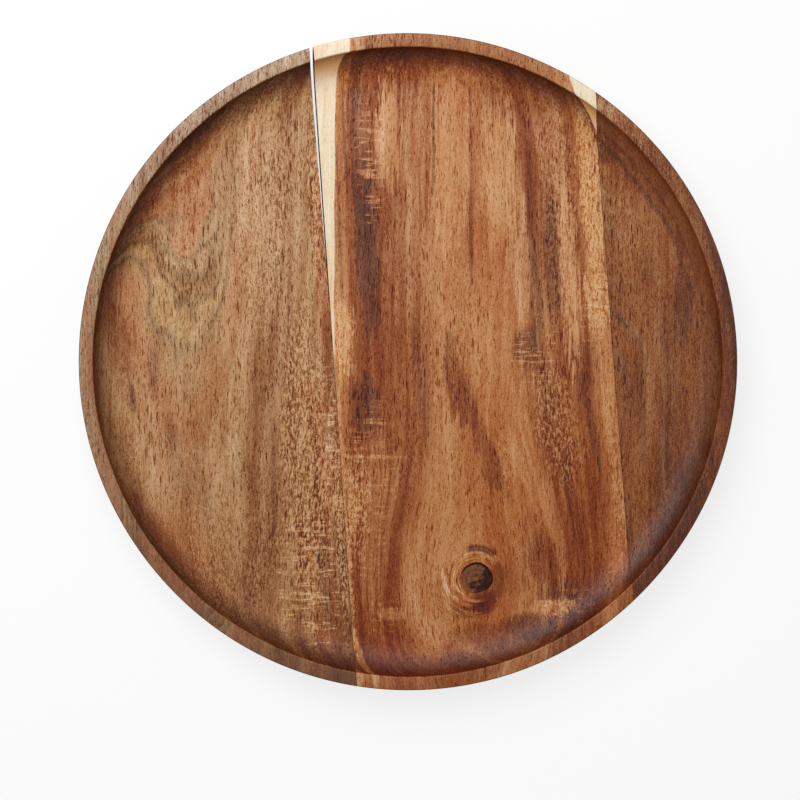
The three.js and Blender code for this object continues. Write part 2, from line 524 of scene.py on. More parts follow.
def board_finish(material, colours, place, grain, figure, finish):
    """Lays fibres and pores over a board's figure, tones its turned parts with painted shade in the cove and
    on the outside, and joins its surface.
    """
    fibre = noise(grain, (0.4, 3.5, 0.4), 1.3)
    thread = noise(grain, (1.2, 28.0, 1.2), 5.7)
    ribbon = noise(grain, (4.5, 80.0, 4.5), 9.1)
    cloud = noise(grain, (22.0, 40.0, 22.0), 2.9)
    grit = noise(grain, (0.5, 0.8, 0.5), 7.7, detail=1.0)
    speckle = noise(grain, (0.8, 2.6, 0.8), 7.9, detail=1.0)
    texture = fibre * 1.2 + thread * 0.7 + ribbon * 0.7 + cloud * 0.6 + grit
    texture = texture + (grit * 2.4 + speckle * 3.0) * figure.crackle
    form = turning(material, place)
    # Painted sheen: the pores fade over the floor's margin, as if washed out by a reflection.
    pores = pore_mask(grain, figure.plenty) * (1.0 - form.margin * 0.4)
    palest = figure.density * (0.78 - figure.crackle * 0.05)
    # Painted light, partly the rim's own tone: the rim's top grows paler towards the key light.
    density_and_shade = larger(figure.density + texture, palest) + pores * 1.05 - form.rim * figure.rim_wear_and_light
    # Painted shade: deeper colour in the cove and on the outside; the margin grows darker towards the cove;
    # the rim keeps its own tone.
    depths = (
        (form.margin, finish.margin),
        (form.cove, finish.cove),
        (form.side, finish.side),
        (form.rim, finish.rim),
    )
    for part, depth in depths:
        density_and_shade = density_and_shade * (part * (depth - 1) + 1.0)
    flecks = smooth(speckle, 0.0, -0.16) * figure.crackle
    colour_and_shade = tint(flecks * 0.7, steep(figure.colour, density_and_shade), colours.tan)
    # Painted shade: the cove and the outside are tinted darker, with honey where there is sapwood.
    colour_and_shade = tint(form.cove * (0.9 - figure.heartwood * 0.4), colour_and_shade, figure.oil_and_shade)
    colour_and_shade = tint(form.side * (figure.heartwood * 0.2 + 0.6), colour_and_shade, figure.outside)
    colour_and_shade = tint(form.rim * figure.heartwood * finish.greyed, colour_and_shade, colours.rim_wear_and_light)
    roughness = thread * 0.25 + pores * 0.2 + form.ends * 0.08 - form.margin * 0.06 + 0.4
    finish_surface(material, colour_and_shade, roughness, fibre * 0.3 - pores)


# Streaks, in millimetres from the plate's middle

CENTRE_DARK = [
    Streak(-19.2, 60.0, 7.0, 54.0, -0.04, 0.8),
    Streak(-23.8, 112.0, 4.0, 42.0, -0.04, 0.5),
    Streak(-20.2, -22.0, 8.0, 18.0, 0.0, 0.52),
    Streak(-31.4, 60.0, 0.9, 66.0, -0.04, 0.45),
    Streak(-29.2, 100.0, 0.9, 34.0, -0.04, 0.6),
    Streak(11.6, 102.0, 0.9, 32.0, 0.0, 0.5),
    Streak(56.0, 72.0, 1.6, 60.0, -0.03, 0.3),
    Streak(66.0, 52.0, 3.4, 36.0, -0.05, 0.42),
    Streak(60.0, 20.0, 2.5, 40.0, -0.03, 0.4),
    Streak(55.0, 6.0, 8.0, 12.0, 0.0, 0.6),
    Streak(83.0, 0.0, 6.0, 16.0, -0.05, 0.25),
    Streak(83.5, -26.0, 2.6, 30.0, -0.2, 0.5),
    Streak(6.0, -8.0, 4.0, 32.0, -0.09, 0.35),
    Streak(2.5, -68.0, 3.5, 46.0, -0.02, 0.15),
    Streak(52.0, -132.0, 24.0, 11.0, 0.2, 0.25),
    Streak(66.0, -110.0, 22.0, 13.0, 0.3, 0.5),
    Streak(74.0, -128.0, 12.0, 14.0, 0.2, 0.4),
]
CENTRE_RED = [
    Streak(28.7, 82.0, 1.8, 60.0, 0.0, 0.75),
    Streak(-19.0, 40.0, 11.0, 84.0, -0.05, 0.4),
    Streak(52.0, -92.0, 14.0, 26.0, -0.2, 0.35),
    Streak(24.0, -12.0, 6.5, 30.0, -0.27, 0.85),
    Streak(35.0, -42.0, 5.0, 24.0, -0.2, 0.6),
    Streak(64.5, -22.0, 3.5, 32.0, -0.06, 0.75),
    Streak(57.0, 66.0, 3.2, 62.0, -0.03, 0.6),
    Streak(66.0, 50.0, 5.0, 42.0, -0.05, 0.75),
    Streak(74.0, -68.0, 4.2, 44.0, -0.12, 0.9),
    Streak(-4.0, 52.0, 7.0, 30.0, 0.0, 0.15),
    Streak(-21.0, -112.0, 5.0, 40.0, -0.03, 0.3),
    Streak(-6.0, -78.0, 2.5, 50.0, 0.0, 0.12),
    Streak(54.0, 122.0, 26.0, 13.0, 0.1, 0.3),
]
CENTRE_PALE = [
    Streak(-15.0, -72.0, 9.0, 52.0, -0.02, 0.6),
    Streak(-9.0, 104.0, 8.0, 30.0, 0.0, 0.95),
    Streak(3.0, 96.0, 8.0, 40.0, 0.0, 0.6),
    Streak(-1.0, 50.0, 10.0, 36.0, 0.0, 0.4),
    Streak(62.0, 30.0, 10.0, 60.0, -0.05, 0.35),
    Streak(18.0, 92.0, 11.0, 48.0, 0.0, 1.0),
    Streak(6.0, 40.0, 11.0, 34.0, 0.15, 0.25),
    Streak(42.0, 86.0, 10.0, 50.0, -0.02, 0.95),
    Streak(74.0, 40.0, 6.0, 54.0, -0.07, 1.0),
    Streak(53.0, 44.0, 4.5, 40.0, -0.02, 0.75),
    Streak(66.0, 98.0, 8.0, 30.0, -0.05, 0.45),
    Streak(48.0, -25.0, 6.0, 44.0, -0.06, 0.35),
    Streak(18.0, -46.0, 7.0, 40.0, -0.1, 0.45),
    Streak(14.0, -98.0, 8.0, 28.0, 0.1, 0.5),
    Streak(56.0, -60.0, 8.0, 30.0, -0.25, 0.4),
    Streak(-5.0, -74.0, 4.5, 42.0, 0.0, 0.5),
]
CENTRE_TAN = [
    Streak(-29.5, 11.0, 6.5, 22.0, -0.05, 1.0),
    Streak(-28.1, -75.0, 1.2, 74.0, -0.068, 0.45),
    Streak(-24.5, -66.0, 4.5, 20.0, -0.05, 0.65),
    Streak(-10.0, -58.0, 4.0, 9.0, 0.0, 0.4),
    Streak(-14.0, -44.0, 18.0, 1.2, 0.0, 0.5),
    Streak(84.3, 74.0, 6.2, 56.0, -0.075, 1.0),
    Streak(87.0, 29.0, 8.0, 18.0, -0.07, 0.9),
    Streak(97.1, -40.0, 0.9, 66.0, -0.075, 0.5),
    Streak(93.0, -4.0, 3.0, 34.0, -0.078, 0.6),
    Streak(-23.8, -136.0, 2.5, 14.0, -0.07, 0.9),
    Streak(60.0, -113.0, 17.0, 4.4, 0.2, 0.7),
    Streak(0.0, -116.0, 12.0, 4.0, 0.0, 0.6),
]
CENTRE_BARS = [
    Streak(-16.0, -62.0, 16.0, 46.0, 0.0, 1.0),
    Streak(-17.0, 92.0, 9.0, 34.0, -0.03, 1.0),
    Streak(58.0, 4.0, 14.0, 18.0, 0.0, 0.9),
    Streak(86.0, 26.0, 9.0, 24.0, -0.06, 1.0),
    Streak(70.0, -112.0, 26.0, 10.0, 0.0, 0.8),
    Streak(-4.0, -116.0, 16.0, 10.0, 0.0, 0.7),
]
CENTRE_CRACKLE = [
    Streak(84.3, 74.0, 6.0, 54.0, -0.075, 1.0),
    Streak(87.0, 29.0, 9.0, 20.0, -0.07, 1.0),
    Streak(70.0, 70.0, 10.0, 60.0, -0.05, 0.35),
    Streak(-29.5, 11.0, 7.0, 24.0, -0.05, 0.7),
    Streak(-27.9, -75.0, 2.5, 74.0, -0.068, 0.7),
    Streak(95.0, -50.0, 3.0, 56.0, -0.08, 0.4),
    Streak(-22.0, -68.0, 8.0, 32.0, -0.05, 0.8),
    Streak(68.0, -30.0, 12.0, 36.0, -0.1, 0.6),
    Streak(60.0, -113.0, 17.0, 6.0, 0.2, 0.6),
]
SAP_HONEY = [
    Streak(-46.0, 144.0, 5.0, 9.0, 0.0, 0.45),
    Streak(-36.0, 40.0, 2.0, 24.0, -0.06, 0.35),
]
KNOT_MARKS = [
    Streak(35.0, -109.5, 8.0, 8.0, 0.0, 0.9),
    Streak(41.0, -101.0, 5.0, 11.0, 0.0, 0.6),
    Streak(26.5, -115.5, 9.0, 3.5, 0.0, 0.5),
    Streak(49.0, -99.0, 11.0, 10.0, 0.0, 0.2),
    Streak(62.0, -92.0, 9.0, 14.0, -0.2, 0.6),
    Streak(55.0, -122.0, 16.0, 7.5, 0.0, 0.6),
    Streak(34.0, -127.0, 22.0, 7.0, 0.0, 0.1),
]
KNOT_SHADE = [
    Streak(56.0, -121.5, 14.0, 7.0, 0.0, 0.4),
    Streak(36.0, -126.0, 24.0, 6.5, 0.0, 0.2),
]
KNOT_ARCS = [
    Streak(21.0, -101.0, 9.0, 13.0, 0.0, 1.0),
    Streak(28.0, -113.0, 11.0, 6.0, 0.0, 0.9),
    Streak(33.0, -91.0, 12.0, 6.0, 0.0, 0.6),
]
KNOT_LENS = Streak(34.4, -85.8, 10.0, 6.0, 0.0, 1.0)
RIGHT_PALE = [
    Streak(101.0, 60.0, 6.0, 60.0, -0.07, 0.6),
    Streak(112.0, 0.0, 5.0, 50.0, 0.0, 0.5),
    Streak(106.0, -60.0, 5.0, 40.0, -0.05, 0.4),
    Streak(120.0, 60.0, 6.0, 30.0, 0.1, 0.4),
    Streak(96.0, 104.0, 10.0, 18.0, -0.2, 0.7),
]
LEFT_RED = [
    Streak(-54.8, 60.0, 1.2, 96.0, -0.01, 0.65),
    Streak(-54.5, -40.0, 1.2, 50.0, 0.0, 0.45),
    Streak(-37.8, 10.0, 2.6, 46.0, -0.05, 0.7),
    Streak(-40.0, -76.0, 3.0, 54.0, -0.06, 0.7),
    Streak(-111.0, 70.0, 12.0, 30.0, 0.25, 0.1),
    Streak(-132.0, 6.0, 6.5, 32.0, -0.1, 0.7),
    Streak(-127.0, -48.0, 3.0, 30.0, -0.2, 0.6),
    Streak(-48.0, -90.0, 2.0, 40.0, -0.04, 0.4),
]
LEFT_DARK = [
    Streak(-126.0, -18.0, 1.6, 10.0, -0.2, 0.9),
    Streak(-119.5, -13.0, 1.3, 8.0, 0.2, 0.7),
    Streak(-117.0, -4.0, 3.0, 14.0, -0.1, 0.5),
    Streak(-93.0, -66.0, 5.0, 18.0, -0.1, 0.35),
    Streak(-108.0, -42.0, 5.0, 24.0, -0.15, 0.45),
    Streak(-99.0, -54.0, 5.0, 20.0, 0.2, 0.35),
    Streak(-61.5, -62.0, 1.2, 40.0, -0.02, 0.6),
    Streak(-38.5, -100.0, 4.0, 27.0, -0.05, 0.6),
    Streak(-33.0, -92.0, 4.0, 26.0, -0.06, 0.35),
    Streak(-33.5, -117.0, 10.0, 12.0, 0.0, 0.35),
]
LEFT_SHADE = [
    Streak(-42.0, -85.0, 14.0, 60.0, -0.05, 0.3),
    Streak(-88.0, -85.0, 32.0, 46.0, -0.1, 1.0),
    Streak(-128.0, -20.0, 9.0, 60.0, -0.05, 0.6),
]
LEFT_CRACKLE = [
    Streak(-47.0, -45.0, 14.0, 90.0, -0.04, 0.9),
    Streak(-42.0, 75.0, 5.0, 56.0, -0.06, 0.8),
    Streak(-32.0, -70.0, 3.6, 64.0, -0.066, 1.0),
    Streak(-66.0, 60.0, 18.0, 60.0, 0.0, 0.35),
    Streak(-80.0, -90.0, 30.0, 40.0, 0.0, 0.3),
]
LEFT_WARM = [
    Streak(-42.0, -70.0, 13.0, 78.0, -0.05, 0.9),
    Streak(-40.0, 40.0, 5.0, 60.0, -0.06, 0.8),
]
LEFT_PALE = [
    Streak(-76.0, 88.0, 18.0, 44.0, 0.0, 0.65),
    Streak(-90.0, -12.0, 18.0, 44.0, 0.0, 0.5),
    Streak(-66.0, 70.0, 8.0, 60.0, 0.0, 0.4),
    Streak(-50.0, -78.0, 9.0, 60.0, -0.05, 0.2),
    Streak(-31.0, -70.0, 2.2, 56.0, -0.06, 0.2),
    Streak(-47.0, -52.0, 6.5, 36.0, -0.05, 1.0),
    Streak(-54.0, 66.0, 11.0, 58.0, 0.0, 0.8),
]
LEFT_BARS = [
    Streak(-44.0, -100.0, 18.0, 44.0, -0.05, 1.0),
    Streak(-34.0, -36.0, 6.0, 44.0, -0.05, 0.8),
]
RIGHT_DARK = [
    Streak(127.0, 24.0, 6.0, 22.0, 0.0, 0.8),
    Streak(107.0, -20.0, 2.5, 34.0, -0.05, 0.6),
    Streak(117.0, -30.0, 2.0, 30.0, -0.05, 0.5),
]


def rungs(place):
    """Pale lines across the grain, where it waves up to the surface."""
    return smooth(noise(place, (9.0, 1.3, 9.0), 3.3), 0.03, 0.16)


def left_board_wood(colours):
    """Golden brown wood with arched growth where the board touches the tree's tangent."""
    material, place = new_material("left_board_wood")
    bent = noise_shift(noise_shift(place, (40.0, 70.0, 40.0), 4.0, 3.5), (9.0, 30.0, 9.0), 7.0, 1.0)
    ring = ring_distance(bent, -104.0, 75.0, -0.055)
    x, y, _ = parts(noise_shift(place, (9.0, 30.0, 9.0), 7.0, 0.8))
    base = ramp(
        ring,
        55.0,
        100.0,
        [
            (55.0, colours.left_brown),
            (60.0, colours.left_orange),
            (62.6, colours.left_orange),
            (63.0, colours.left_umber),
            (63.4, colours.left_golden),
            (63.7, colours.left_umber),
            (64.2, colours.left_golden),
            (64.5, colours.left_umber),
            (64.9, colours.left_pale),
            (65.3, colours.left_pale),
            (65.7, colours.left_umber),
            (66.2, colours.left_golden),
            (67.0, colours.left_orange),
            (72.0, colours.left_golden),
            (78.0, colours.left_brown),
            (86.0, colours.left_golden),
            (96.0, colours.left_brown),
        ],
    )
    lines = growth_lines(ring, y, 2.6, 2.2)
    fray = noise(bent, (1.3, 22.0, 1.3), 6.6) * 2.4
    base = tint(gathered(x, y, LEFT_WARM, fray), base, colours.left_warm)
    base = tint(gathered(x, y, LEFT_PALE, fray), base, colours.left_golden)
    base = tint(gathered(x, y, LEFT_RED, fray) * 0.55, base, colours.heart_red)
    base = tint(gathered(x, y, LEFT_DARK, fray) * 0.7, base, colours.heart_dark)
    ladder = rungs(bent) * gathered(x, y, LEFT_BARS, fray)
    base = tint(ladder * 0.6, base, colours.tan)
    shade = gathered(x, y, LEFT_SHADE, fray * 0.3)
    # Painted light: the -y term makes the board lighter towards the top, nearer the key light.
    density = lines * 1.2 + shade * 0.12 - ladder * 0.25 - y * 0.0008 + 0.99
    arch = near(ring, 63.7, 1.2)
    plenty = noise(place, (30.0, 60.0, 30.0), 9.2) + arch * 0.15 + 0.05
    crackle = gathered(x, y, LEFT_CRACKLE, fray * 0.5)
    figure = Figure(
        colour=base,
        oil_and_shade=colours.cove,
        outside=colours.outside,
        density=density,
        plenty=plenty,
        crackle=crackle,
        heartwood=1.0,
        # Painted light, partly the rim's own tone: the rim's top paler towards the top.
        rim_wear_and_light=y * 0.0026 + 0.06,
    )
    # The cove and side depths paint shade; the margin is darker towards the cove.
    finish = ToneAndShade(margin=1.12, cove=1.5, side=2.6, rim=1.06, greyed=0.37)
    board_finish(material, colours, place, bent, figure, finish)
    return material


def knot_flow(place, reach):
    """The place followed back along grain that parts round a knot."""
    x, y, z = parts(place)
    from_knot = x - KNOT_X
    past_knot = (y - KNOT_Y) / 1.4
    distance = from_knot * from_knot + past_knot * past_knot
    drawn_in = smooth(distance, 60.0**2, 20.0**2) * reach**2 / (distance + reach**2)
    return vector_of(x - from_knot * drawn_in, y, z)


def knot_halo(place):
    """Distance from the knot's middle, a little uneven."""
    x, y, _ = parts(noise_shift(place, (9.0, 9.0, 9.0), 5.5, 1.8))
    from_knot = x - KNOT_X
    past_knot = y - KNOT_Y
    return calculate("SQRT", from_knot * from_knot + past_knot * past_knot)


def knot_surround(base, colours, place, floor_x, grain_y, fray):
    """Lays the wood round the knot over a base colour; returns it, and the fine arcs in it."""
    halo = knot_halo(place)
    x, y, _ = parts(noise_shift(place, (5.0, 5.0, 5.0), 2.7, 0.8))
    arcs = noise(vector_of(halo, y * 0.08, x * 0.08), (0.9, 1.0, 1.0), 7.3)
    arcs = arcs * gathered(x, y, KNOT_ARCS, fray * 0.3)
    pale_side = smooth(halo, 19.0, 10.0) * smooth(floor_x, KNOT_X + 12.0, KNOT_X - 8.0)
    resin_side = smooth(halo, 10.5, 7.5) * smooth(grain_y, KNOT_Y - 6.0, KNOT_Y + 6.0)
    lens = near(halo, 14.3, 2.8) * streak_mask(x, y, KNOT_LENS, 0.0)
    base = tint(pale_side * 0.5, base, colours.centre_golden)
    base = tint(resin_side * 0.6, base, colours.knot_orange)
    base = tint(gathered(x, y, KNOT_MARKS, fray * 0.4), base, colours.heart_red)
    base = tint(gathered(x, y, KNOT_SHADE, fray * 0.4), base, colours.heart_dark)
    base = tint(smooth(lens + arcs * 0.8, 0.1, 0.9) * 0.75, base, colours.heart_dark)
    return base, arcs


def centre_board_wood(colours):
    """Orange brown wood that flows round the knot, dark in the outer heart and pale at both edges."""
    material, place = new_material("centre_board_wood")
    sway = (36.0, 80.0, 36.0)
    waves = (8.0, 40.0, 8.0)
    flowing = knot_flow(place, 26.0)
    bent = noise_shift(noise_shift(flowing, sway, 1.0, 2.2), waves, 3.0, 0.7)
    pith_x = 22.3
    floor_depth = 33.0  # from the pith up to the dish floor
    pith_z = FLOOR_TOP - floor_depth
    ring = ring_distance(bent, pith_x, pith_z, 0.0)
    bent_x, y, z = parts(bent)
    right_side = smooth(bent_x, 25.0, 50.0)
    heart = ring - right_side * (140.0 - y) * 0.08
    marked = noise_shift(flowing, waves, 3.0, 0.7)
    marked_ring = ring_distance(marked, pith_x, pith_z, 0.0)
    x = ring_on_floor(marked, marked_ring, pith_x, floor_depth)
    base = ramp(
        heart,
        30.0,
        70.0,
        [
            (33.0, colours.centre_golden),
            (38.0, colours.centre_orange),
            (58.0, colours.centre_orange),
            (61.5, colours.centre_golden),
            (64.5, colours.centre_golden),
            (68.0, colours.centre_orange),
        ],
    )
    fray = noise(bent, (1.1, 22.0, 1.1), 6.6) * 2.6
    # Rings too small to meet the dish floor carry no streaks
    marks = fray - smooth(marked_ring, floor_depth - 1.0, floor_depth - 3.0) * 6.0
    bars = gathered(x, y, CENTRE_BARS, marks)
    ladder = rungs(bent) * bars
    ragged = marks - ladder * 1.1
    lines = growth_lines(heart, y, 2.2, 4.4)
    base = tint(gathered(x, y, CENTRE_PALE, marks), base, colours.centre_pale)
    base = tint(gathered(x, y, CENTRE_RED, ragged) * 0.85, base, colours.heart_red)
    base = tint(gathered(x, y, CENTRE_DARK, ragged), base, colours.heart_dark)
    base = tint(ladder * 0.45, base, colours.centre_golden)
    base = tint(gathered(x, y, CENTRE_TAN, marks) * 0.9, base, colours.tan)
    base, arcs = knot_surround(base, colours, place, x, y, fray)
    right_taper = right_side * ((128.0 - y) * 0.243 + 2.5)
    below_floor = larger(FLOOR_TOP - z, 0.0)
    sap_edge = marked_ring - right_taper - below_floor * 0.55 + noise(bent, (2.5, 30.0, 2.5), 2.5)
    sapwood = smooth(sap_edge, 64.6, 65.3)
    base = tint(sapwood, base, colours.sapwood)
    base = tint(gathered(x, y, SAP_HONEY, marks), base, colours.honey)
    # Painted shade over the cove and the outside, with honey where there is sapwood.
    oil_and_shade = tint(sapwood, colours.cove, colours.honey)
    outside = tint(sapwood, colours.outside, colours.honey)
    # Painted light: the -y term makes the board lighter towards the top, nearer the key light.
    density = lines * 1.2 + bars * 0.1 - ladder * 0.34 + arcs * 3.4 - y * 0.0005 + 1.18
    density = density * (1.0 - sapwood * 0.15)
    plenty = noise(place, (30.0, 60.0, 30.0), 5.2) + smooth(x, 40.0, 60.0) * 0.05 - sapwood * 0.3
    crackle = gathered(x, y, CENTRE_CRACKLE, marks * 0.5) * (1.0 - sapwood)
    grain = noise_shift(knot_flow(place, 11.0), sway, 1.0, 2.2)
    figure = Figure(
        colour=base,
        oil_and_shade=oil_and_shade,
        outside=outside,
        density=density,
        plenty=plenty,
        crackle=crackle,
        heartwood=1.0 - sapwood,
        # Painted light, partly the rim's own tone: the rim's top paler towards the top and the left.
        rim_wear_and_light=y * 0.0003 - x * 0.0016,
    )
    # The cove and side depths paint shade; the margin is darker towards the cove.
    finish = ToneAndShade(margin=1.1, cove=1.25, side=1.7, rim=0.78, greyed=0.1)
    board_finish(material, colours, place, grain, figure, finish)
    return material


def right_board_wood(colours):
    """Darker brown wood with low arches."""
    material, place = new_material("right_board_wood")
    bent = noise_shift(noise_shift(place, (30.0, 80.0, 30.0), 11.0, 2.5), (8.0, 40.0, 8.0), 13.0, 0.9)
    x, y, z = parts(bent)
    lifted = vector_of(x, y * smooth(y, -50.0, 50.0), z)
    ring = ring_distance(lifted, 85.0, 44.0, 0.35)
    lines = growth_lines(ring, y, 2.6, 8.2)
    base = tint(smooth(lines, -0.15, 0.1), colours.right_dark, colours.right_brown)
    base = tint(smooth(lines, 0.08, 0.3), base, colours.right_pale)
    fray = noise(bent, (1.3, 22.0, 1.3), 6.6) * 2.4
    base = tint(smooth(ring, 50.0, 66.0) * 0.8, base, colours.right_pale)
    base = tint(smooth(ring, 66.5, 69.0) * 0.7, base, colours.right_dark)
    base = tint(gathered(x, y, RIGHT_PALE, fray), base, colours.right_pale)
    base = tint(gathered(x, y, RIGHT_DARK, fray) * 0.8, base, colours.heart_dark)
    cove_x, cove_y, cove_z = parts(noise_shift(place, (9.0, 30.0, 9.0), 13.0, 0.5))
    above_floor = cove_z - FLOOR_TOP
    in_dish = smooth(cove_x * cove_x + cove_y * cove_y, (OUTSIDE - 4.0) ** 2, (OUTSIDE - 8.0) ** 2)
    upper = smooth(cove_y, 10.0, 60.0) * in_dish
    arches = larger(near(above_floor, 1.1, 0.6), near(above_floor, 2.6, 0.5) * 0.7)
    base = tint(arches * upper * 0.7, base, colours.heart_dark)
    # Painted shade over the cove, less dark higher up the upper wall.
    oil_and_shade = tint(smooth(above_floor, 1.4, 3.5) * upper * 0.6, colours.cove, colours.right_brown)
    plenty = noise(place, (30.0, 60.0, 30.0), 4.2) - 0.08
    figure = Figure(
        colour=base,
        oil_and_shade=oil_and_shade,
        outside=colours.outside,
        density=lines + 1.0,
        plenty=plenty,
        crackle=0.0,
        heartwood=1.0,
        # Painted light, partly the rim's own tone: the rim's top paler towards the top.
        rim_wear_and_light=larger(y, 0.0) * 0.0031,
    )
    # The cove and side depths paint shade; the margin is darker towards the cove.
    finish = ToneAndShade(margin=1.22, cove=1.2, side=1.35, rim=1.6, greyed=0.15)
    board_finish(material, colours, place, bent, figure, finish)
    return material


def knot_wood(colours):
    """Dead branch wood with dark checks round a brown heart."""
    material, place = new_material("knot_wood")
    x, y, _ = parts(noise_shift(place, (5.0, 5.0, 5.0), 4.1, 1.0))
    from_heart = x - KNOT_X
    past_heart = y - KNOT_Y
    distance = calculate("SQRT", from_heart * from_heart + past_heart * past_heart)
    patches = noise(place, (3.0, 3.0, 9.0), 2.0, detail=3.0, roughness=0.6)
    charred = smooth(from_heart - past_heart * 0.6 + patches * 16.0, -1.0, 3.0)
    base = tint(charred * 0.9, colours.knot_brown, colours.knot_black)
    base = tint(smooth(distance, 1.5, 0.5) * 0.8, base, colours.centre_orange)
    live_side = smooth(from_heart + past_heart - patches * 4.0, -6.0, -9.5)
    base = tint(live_side * 0.7, base, colours.centre_orange)
    rings = noise(vector_of(distance, 0.0, 0.0), (0.8, 1.0, 1.0), 2.6, detail=2.0)
    speck = noise(place, (0.8, 0.8, 4.0), 5.0)
    density = rings * 0.9 + speck * 0.8 + 1.0
    roughness = speck * 0.2 + 0.45
    finish_surface(material, steep(base, density), roughness, patches, specular=0.06, relief=0.4 * MM)
    return material


def bark_crust(colours):
    """Black crumbling bark, brown where it is thin."""
    material, place = new_material("bark")
    crumbs = noise(place, (0.7, 0.7, 0.7), 1.0, detail=3.0)
    x, y, _ = parts(place)
    thick_side = (x - KNOT_X) * 0.6 + (y - KNOT_Y) * 0.8
    base = tint(smooth(thick_side + crumbs * 6.0, 0.0, -3.5), colours.bark, colours.centre_orange)
    finish_surface(material, steep(base, crumbs * 0.4 + 1.0), 0.85 - crumbs * 0.2, crumbs)
    return material


def glue_film(colours):
    """Dried glue, dark brown; its darkness also paints the shade along the crack's wall."""
    material, place = new_material("glue_film")
    drips = noise(place, (0.6, 5.0, 1.5), 1.0)
    colour = steep(colours.glue, drips * 0.8 + 1.0)
    finish_surface(material, colour, drips * 0.2 + 0.8, drips, specular=0.02)
    return material


# Turned and cut shapes


def rim_wobble(angle, phase):
    """How far a hand-turned edge leaves its circle at an angle, about -1 to 1."""
    slow = 0.55 * math.cos(2 * angle + phase)
    middling = 0.3 * math.cos(3 * angle - 2 * phase)
    quick = 0.15 * math.cos(7 * angle + 3 * phase)
    return slow + middling + quick


def spin_round(bm, middle, steps):
    """Spins a section once round an upright line through a point, and joins its ends."""
    bmesh.ops.spin(
        bm, geom=bm.verts[:] + bm.edges[:], cent=middle, axis=(0, 0, 1), dvec=(0, 0, 0),
        angle=2 * math.pi, steps=steps, use_merge=True, use_duplicate=False,
    )
    bmesh.ops.remove_doubles(bm, verts=bm.verts, dist=MERGE_DISTANCE)


def turned_plate(shape):
    """The whole plate: half its section, rounded by bevels and spun once round."""
    bm = bmesh.new()
    dish = shape.radius - shape.rim_width
    margin = 1.2 * MM  # kept straight beside a rounding
    base_flat = shape.radius - shape.side_round - margin
    level_floor = dish - shape.cove_width - margin
    corners = [
        (0, 0, 0, 0),
        (base_flat, 0, 0, 0),
        (shape.radius, 0, shape.side_round, SIDE_STEPS),
        (shape.radius, shape.height, shape.edge_round, EDGE_STEPS),
        (dish, shape.height, shape.edge_round, EDGE_STEPS),
        (dish, shape.floor, shape.cove_height, COVE_STEPS),
        (level_floor, shape.floor, 0, 0),
        (0, shape.floor, 0, 0),
    ]
    points = [bm.verts.new((x, 0, z)) for x, z, _, _ in corners]
    for start, end in zip(points, points[1:]):
        bm.edges.new((start, end))
    for point, (_, _, rounding, steps) in zip(points, corners):
        if steps:
            bmesh.ops.bevel(
                bm, geom=[point], offset=rounding, offset_type="OFFSET", segments=steps,
                profile=0.5, affect="VERTICES", material=-1,
            )
    cove = [vert for vert in bm.verts if level_floor + margin < vert.co.x < dish]
    wider = (shape.cove_width / shape.cove_height, 1, 1)
    bmesh.ops.scale(bm, vec=wider, space=Matrix.Translation((-dish, 0, 0)), verts=cove)
    spin_round(bm, (0, 0, 0), shape.turns)
    rim_middle = shape.radius - shape.rim_width / 2
    outer_phase = 0.6
    inner_phase = 1.5
    for vert in bm.verts:
        out = Vector((vert.co.x, vert.co.y, 0))
        share = (out.length - level_floor) / (shape.radius - level_floor)
        if share > 0:
            phase = outer_phase if out.length > rim_middle else inner_phase
            angle = math.atan2(out.y, out.x)
            vert.co += out.normalized() * (shape.wobble * share * rim_wobble(angle, phase))
    bmesh.ops.recalc_face_normals(bm, faces=bm.faces)
    return bm


class Seam:
    """A glued seam: a plane that leans off the grain and may be out of square."""

    def __init__(self, shape, x, lean, bevel=0.0):
        self.along = Vector((-math.sin(lean), math.cos(lean), 0))
        self.across = Vector((math.cos(lean), math.sin(lean), 0))
        self.up = Vector((math.tan(bevel), 0, 1))
        self.start = Vector((x, 0, shape.floor))
        in_plan = Vector((x, 0, 0))
        aside = in_plan.dot(self.across)
        self.rim_end = math.sqrt(shape.radius**2 - aside**2) - in_plan.dot(self.along)

    def plane(self, offset):
        """A point and a normal towards +X, for a plane set off from the seam's middle."""
        return self.start + self.across * offset, self.along.cross(self.up).normalized()

    def opened_plane(self, offset, crack_length, crack_width):
        """The plane of the opened edge, turned away from the seam at the crack's tip."""
        tip = self.start + self.along * (self.rim_end - crack_length) + self.across * offset
        away = self.along * crack_length - self.across * crack_width
        return tip, away.cross(self.up).normalized()


def cut_away(bm, point, normal):
    """Cuts off what lies on the normal's side of a plane, and closes the cut with one face."""
    geometry = bm.verts[:] + bm.edges[:] + bm.faces[:]
    bmesh.ops.bisect_plane(
        bm, geom=geometry, dist=MERGE_DISTANCE, plane_co=point, plane_no=normal, clear_outer=True
    )
    rim = [edge for edge in bm.edges if edge.is_boundary]
    bmesh.ops.edgeloop_fill(bm, edges=rim)
    bmesh.ops.recalc_face_normals(bm, faces=bm.faces)


def keep_left(bm, seam, offset):
    """Cuts off what lies to the right of a seam, set off from its middle."""
    cut_away(bm, *seam.plane(offset))


def keep_right(bm, seam, offset):
    """Cuts off what lies to the left of a seam, set off from its middle."""
    point, normal = seam.plane(offset)
    cut_away(bm, point, -normal)


def seams_of(shape):
    """The left and the right seam."""
    left = Seam(shape, shape.left_seam_x, shape.left_seam_lean, shape.left_seam_bevel)
    right = Seam(shape, shape.right_seam_x, shape.right_seam_lean)
    return left, right


